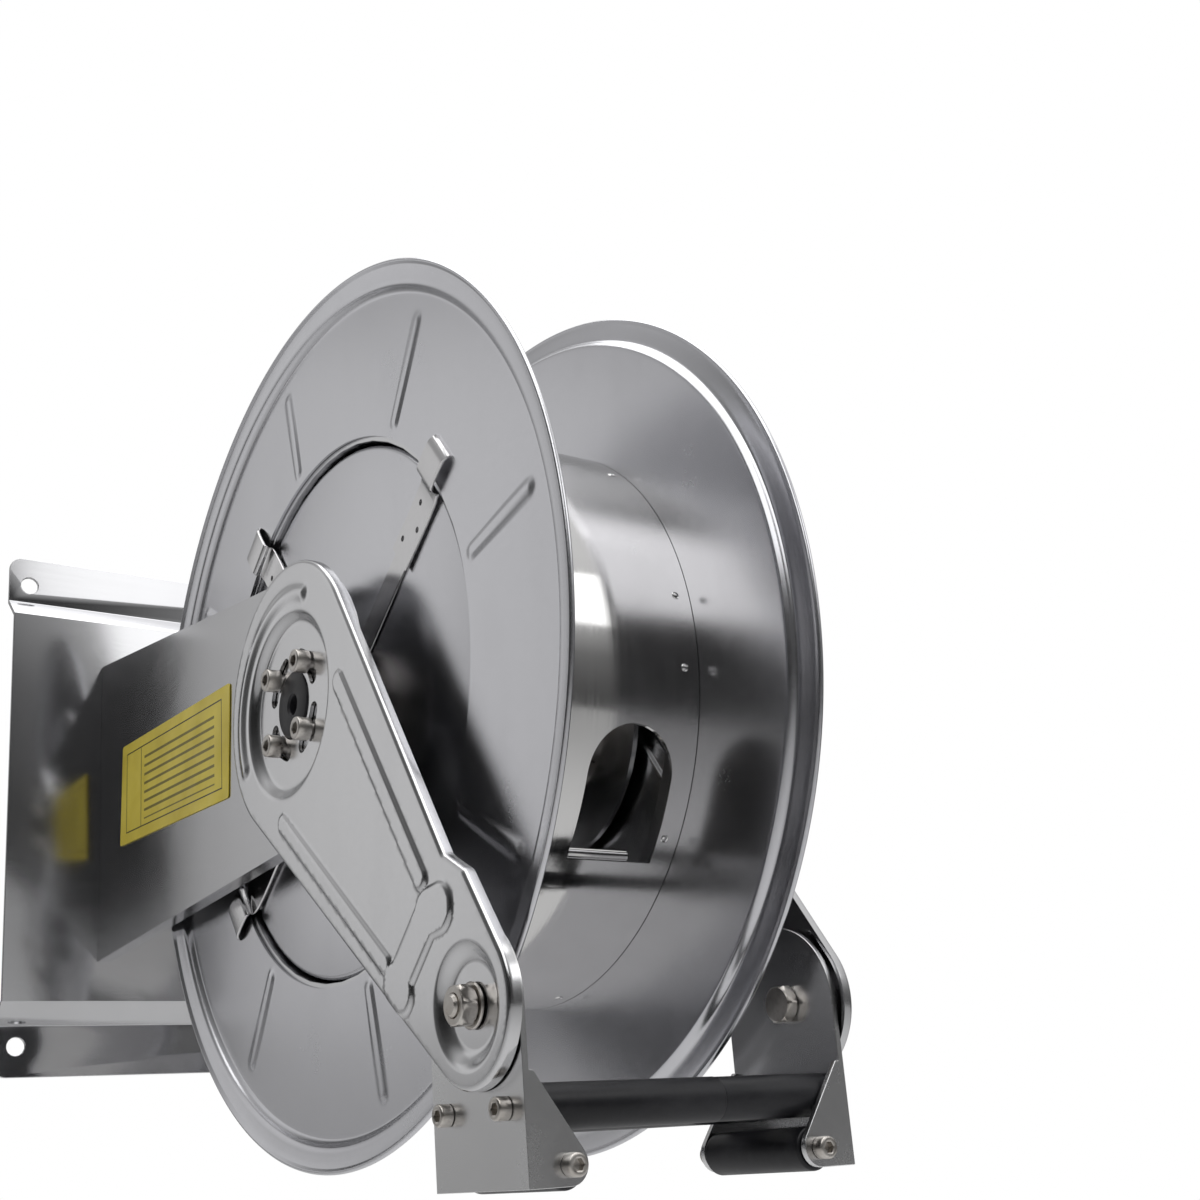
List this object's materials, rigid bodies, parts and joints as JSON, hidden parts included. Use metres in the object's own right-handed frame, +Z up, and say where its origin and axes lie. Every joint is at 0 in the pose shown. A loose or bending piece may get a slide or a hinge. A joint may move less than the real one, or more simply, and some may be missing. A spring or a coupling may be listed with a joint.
{
  "type": "fire hose reel",
  "caption": "Wall-mounted open hose reel with a spring-rewound drum between two side arms, an adjustable guide arm and a roller hose guide.",
  "frame": {"origin": "centre of the four fixing holes, on the wall plane", "axes": "+X along the axle towards the inlet side, +Y into the wall, +Z up"},
  "size_m": [0.31, 0.617, 0.5125],
  "materials": {
    "satin_stainless": "satin",
    "polished_stainless": "mirror polished",
    "fastener_steel": "machined",
    "spring_steel": "oiled",
    "black_nylon": "turned",
    "yellow_label": "printed film"
  },
  "bodies": {
    "frame": {"wall_plate": "satin_stainless", "side_arm_left": "satin_stainless", "side_arm_right": "satin_stainless", "label_left": "yellow_label", "axle": "fastener_steel", "hub_cap_left": "black_nylon", "hub_screw_left_1": "fastener_steel", "hub_screw_left_2": "fastener_steel", "hub_screw_left_3": "fastener_steel", "hub_screw_left_4": "fastener_steel", "hub_screw_right_1": "fastener_steel", "hub_screw_right_2": "fastener_steel", "hub_screw_right_3": "fastener_steel", "hub_screw_right_4": "fastener_steel", "inlet_body": "fastener_steel"},
    "inlet": {"inlet_elbow": "fastener_steel"},
    "drum": {"disc_left": "satin_stainless", "disc_right": "satin_stainless", "barrel": "polished_stainless", "spring_cover": "satin_stainless", "cover_strap_1": "satin_stainless", "cover_strap_2": "satin_stainless", "cover_strap_3": "satin_stainless", "cover_strap_4": "satin_stainless", "spring_can": "satin_stainless", "power_spring": "spring_steel", "hub_tube": "fastener_steel", "spider": "satin_stainless", "hose_outlet": "fastener_steel"},
    "guide": {"guide_arm_left": "satin_stainless", "guide_arm_right": "satin_stainless", "pivot_bolt_left": "fastener_steel", "pivot_washer_left": "fastener_steel", "pivot_nut_left": "fastener_steel", "pivot_bolt_right": "fastener_steel", "pivot_washer_right": "fastener_steel", "pivot_nut_right": "fastener_steel"},
    "head": {"bracket_left": "satin_stainless", "bracket_right": "satin_stainless", "spindle_front": "fastener_steel", "spindle_rear": "fastener_steel", "spindle_left": "fastener_steel", "spindle_right": "fastener_steel"},
    "front_roller": {"roller_front": "black_nylon"},
    "rear_roller": {"roller_rear": "black_nylon"},
    "left_roller": {"roller_left": "black_nylon"},
    "right_roller": {"roller_right": "black_nylon"}
  },
  "joints": [
    {"name": "drum_spin", "type": "hinge", "parent": "frame", "child": "drum", "pos_m": [0, -0.367, -0.021], "axis": [1, 0, 0], "continuous": true, "stiffness_Nm_per_rad": 0.1},
    {"name": "guide_swing", "type": "hinge", "parent": "frame", "child": "guide", "pos_m": [0, -0.367, -0.021], "axis": [1, 0, 0], "range_deg": [-24, 24]},
    {"name": "head_tilt", "type": "hinge", "parent": "guide", "child": "head", "pos_m": [0, -0.54457, -0.20558], "axis": [1, 0, 0], "range_deg": [-40, 8]},
    {"name": "front_roller_spin", "type": "hinge", "parent": "head", "child": "front_roller", "pos_m": [0, -0.562, -0.2495], "axis": [1, 0, 0], "continuous": true},
    {"name": "rear_roller_spin", "type": "hinge", "parent": "head", "child": "rear_roller", "pos_m": [0, -0.514, -0.2495], "axis": [1, 0, 0], "continuous": true},
    {"name": "left_roller_spin", "type": "hinge", "parent": "head", "child": "left_roller", "pos_m": [-0.0685, -0.538, -0.2735], "axis": [0, 1, 0], "continuous": true},
    {"name": "right_roller_spin", "type": "hinge", "parent": "head", "child": "right_roller", "pos_m": [0.0685, -0.538, -0.2735], "axis": [0, 1, 0], "continuous": true},
    {"name": "inlet_turn", "type": "hinge", "parent": "frame", "child": "inlet", "pos_m": [0, -0.367, -0.021], "axis": [1, 0, 0], "continuous": true}
  ]
}
